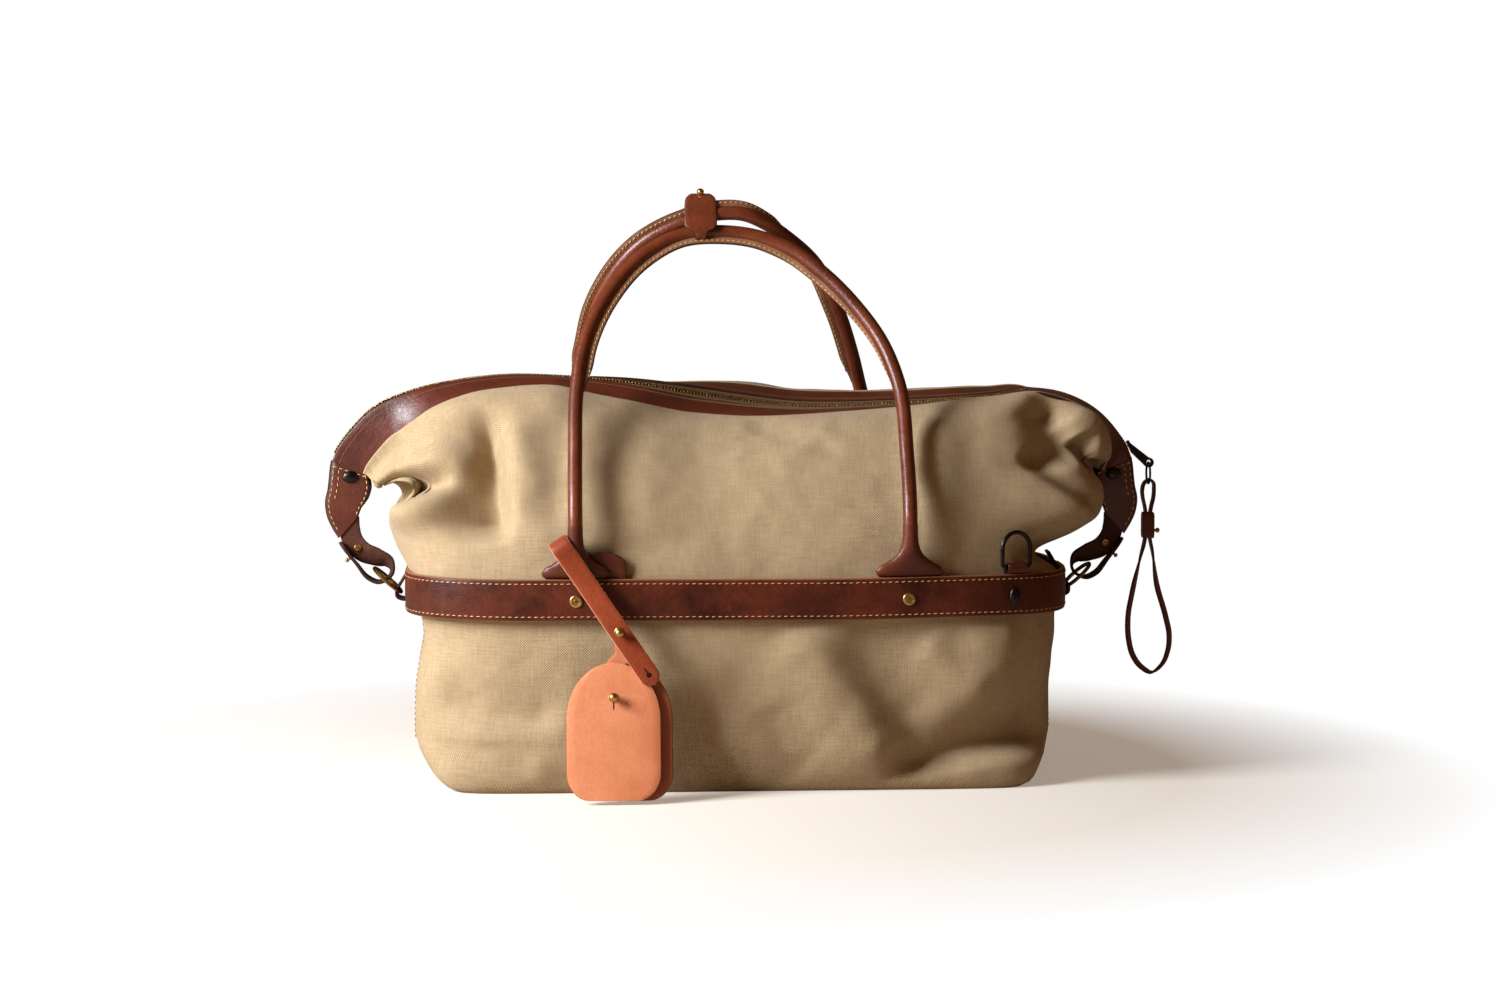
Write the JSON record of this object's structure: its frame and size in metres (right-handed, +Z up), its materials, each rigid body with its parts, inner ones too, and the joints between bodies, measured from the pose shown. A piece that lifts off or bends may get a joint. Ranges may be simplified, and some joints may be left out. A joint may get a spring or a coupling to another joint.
{
  "type": "doctor bag",
  "caption": "Soft canvas holdall in the doctor-bag outline, with a leather belt, zip mouth with drooping wings, arched rolled handles, side rings and a hanging leather luggage tag.",
  "frame": {"origin": "middle of the underside of the canvas base", "axes": "+X along the bag to the side with the zip pull, -Y towards the front with the tag, +Z up"},
  "size_m": [0.6725, 0.2808, 0.455],
  "materials": {
    "canvas": "matte twill",
    "leather": "oiled, half gloss",
    "tag_leather": "vegetable tanned, satin",
    "brass": "antique",
    "gunmetal": "dark plated",
    "zip_tape": "woven",
    "board": "fibre board"
  },
  "bodies": {
    "bag": {"canvas_body": "canvas", "canvas_front_upper": "canvas", "canvas_back_upper": "canvas", "base_board": "board", "belt_front": "leather", "belt_back": "leather", "ring_chape_left": "leather", "ring_chape_right": "leather", "zip_end_tab_left": "leather", "zip_end_tab_right": "leather", "wing_rivet_left": "gunmetal", "wing_rivet_right": "gunmetal", "side_strap_left": "leather", "side_strap_right": "leather", "strap_stud_left": "gunmetal", "strap_stud_right": "gunmetal", "handle_foot_front_left": "leather", "handle_foot_front_right": "leather", "handle_foot_back_left": "leather", "handle_foot_back_right": "leather", "belt_screw_front_left": "brass", "belt_screw_front_right": "brass", "belt_screw_back_left": "brass", "belt_screw_back_right": "brass", "dring_chape_front": "leather", "dring_chape_back": "leather", "dring_rivet_front": "gunmetal", "dring_rivet_back": "gunmetal", "tag_strap": "tag_leather"},
    "front_mouth": {"facing_front": "leather", "zip_tape_front": "zip_tape", "zip_teeth_front": "brass"},
    "back_mouth": {"facing_back": "leather", "zip_tape_back": "zip_tape", "zip_teeth_back": "brass"},
    "slider": {"zip_slider": "gunmetal"},
    "pull": {"pull_ring": "gunmetal", "pull_strap": "leather", "pull_keeper": "leather", "pull_stud": "brass"},
    "handle_front": {"front_handle": "leather", "keeper_flap": "leather"},
    "handle_back": {"back_handle": "leather", "keeper_wrap": "leather", "keeper_stud": "brass"},
    "ring_left": {"side_ring_left": "brass"},
    "ring_right": {"side_ring_right": "brass"},
    "front_dring": {"dring_front": "gunmetal"},
    "back_dring": {"dring_back": "gunmetal"},
    "tag": {"tag_strap_stud": "brass", "tag_hanger": "tag_leather", "tag_back_leaf": "tag_leather"},
    "tag_flap": {"tag_front_leaf": "tag_leather", "tag_stud": "brass"}
  },
  "joints": [
    {"name": "front_mouth_open", "type": "hinge", "parent": "bag", "child": "front_mouth", "pos_m": [0, -0.0068, 0.23897], "axis": [1, 0, 0], "range_deg": [0, 50], "deforming": ["canvas_front_upper"]},
    {"name": "back_mouth_open", "type": "hinge", "parent": "bag", "child": "back_mouth", "pos_m": [0, 0.0068, 0.23897], "axis": [-1, 0, 0], "range_deg": [0, 50], "deforming": ["canvas_back_upper"]},
    {"name": "front_handle_fold", "type": "hinge", "parent": "bag", "child": "handle_front", "pos_m": [0, -0.11993, 0.219], "axis": [1, 0, 0], "range_deg": [0, 95], "deforming": ["tag_strap"]},
    {"name": "back_handle_fold", "type": "hinge", "parent": "bag", "child": "handle_back", "pos_m": [0, 0.11993, 0.219], "axis": [-1, 0, 0], "range_deg": [0, 95]},
    {"name": "zip_slide", "type": "hinge", "parent": "bag", "child": "slider", "pos_m": [0.2384, 0, 0.2194], "axis": [0, -1, 0], "range_deg": [0, 70]},
    {"name": "zip_pull_swing", "type": "hinge", "parent": "slider", "child": "pull", "pos_m": [0.33239, 0, 0.24522], "axis": [0, -1, 0], "range_deg": [0, 70]},
    {"name": "tag_swing", "type": "hinge", "parent": "bag", "child": "tag", "pos_m": [-0.12753, -0.11993, 0.19], "axis": [-1, 0, 0], "range_deg": [0, 60], "deforming": ["tag_strap"]},
    {"name": "tag_flap_open", "type": "hinge", "parent": "tag", "child": "tag_flap", "pos_m": [-0.0995, -0.15216, 0.00292], "axis": [1, 0, 0], "range_deg": [0, 80], "deforming": ["tag_strap"]},
    {"name": "front_dring_flip", "type": "hinge", "parent": "bag", "child": "front_dring", "pos_m": [0.21182, -0.10036, 0.1719], "axis": [0.9221, 0.3868, 0], "range_deg": [0, 90]},
    {"name": "back_dring_flip", "type": "hinge", "parent": "bag", "child": "back_dring", "pos_m": [-0.21182, 0.10036, 0.1719], "axis": [-0.9221, -0.3868, 0], "range_deg": [0, 90]},
    {"name": "left_ring_turn", "type": "hinge", "parent": "bag", "child": "ring_left", "pos_m": [-0.2748, 0, 0.1546], "axis": [0.6678, 0, 0.7443], "continuous": true},
    {"name": "right_ring_turn", "type": "hinge", "parent": "bag", "child": "ring_right", "pos_m": [0.2748, 0, 0.1546], "axis": [-0.6678, 0, 0.7443], "continuous": true}
  ],
  "couplings": [
    {"joint": "back_mouth_open", "follows": "front_mouth_open", "ratio": 1}
  ]
}
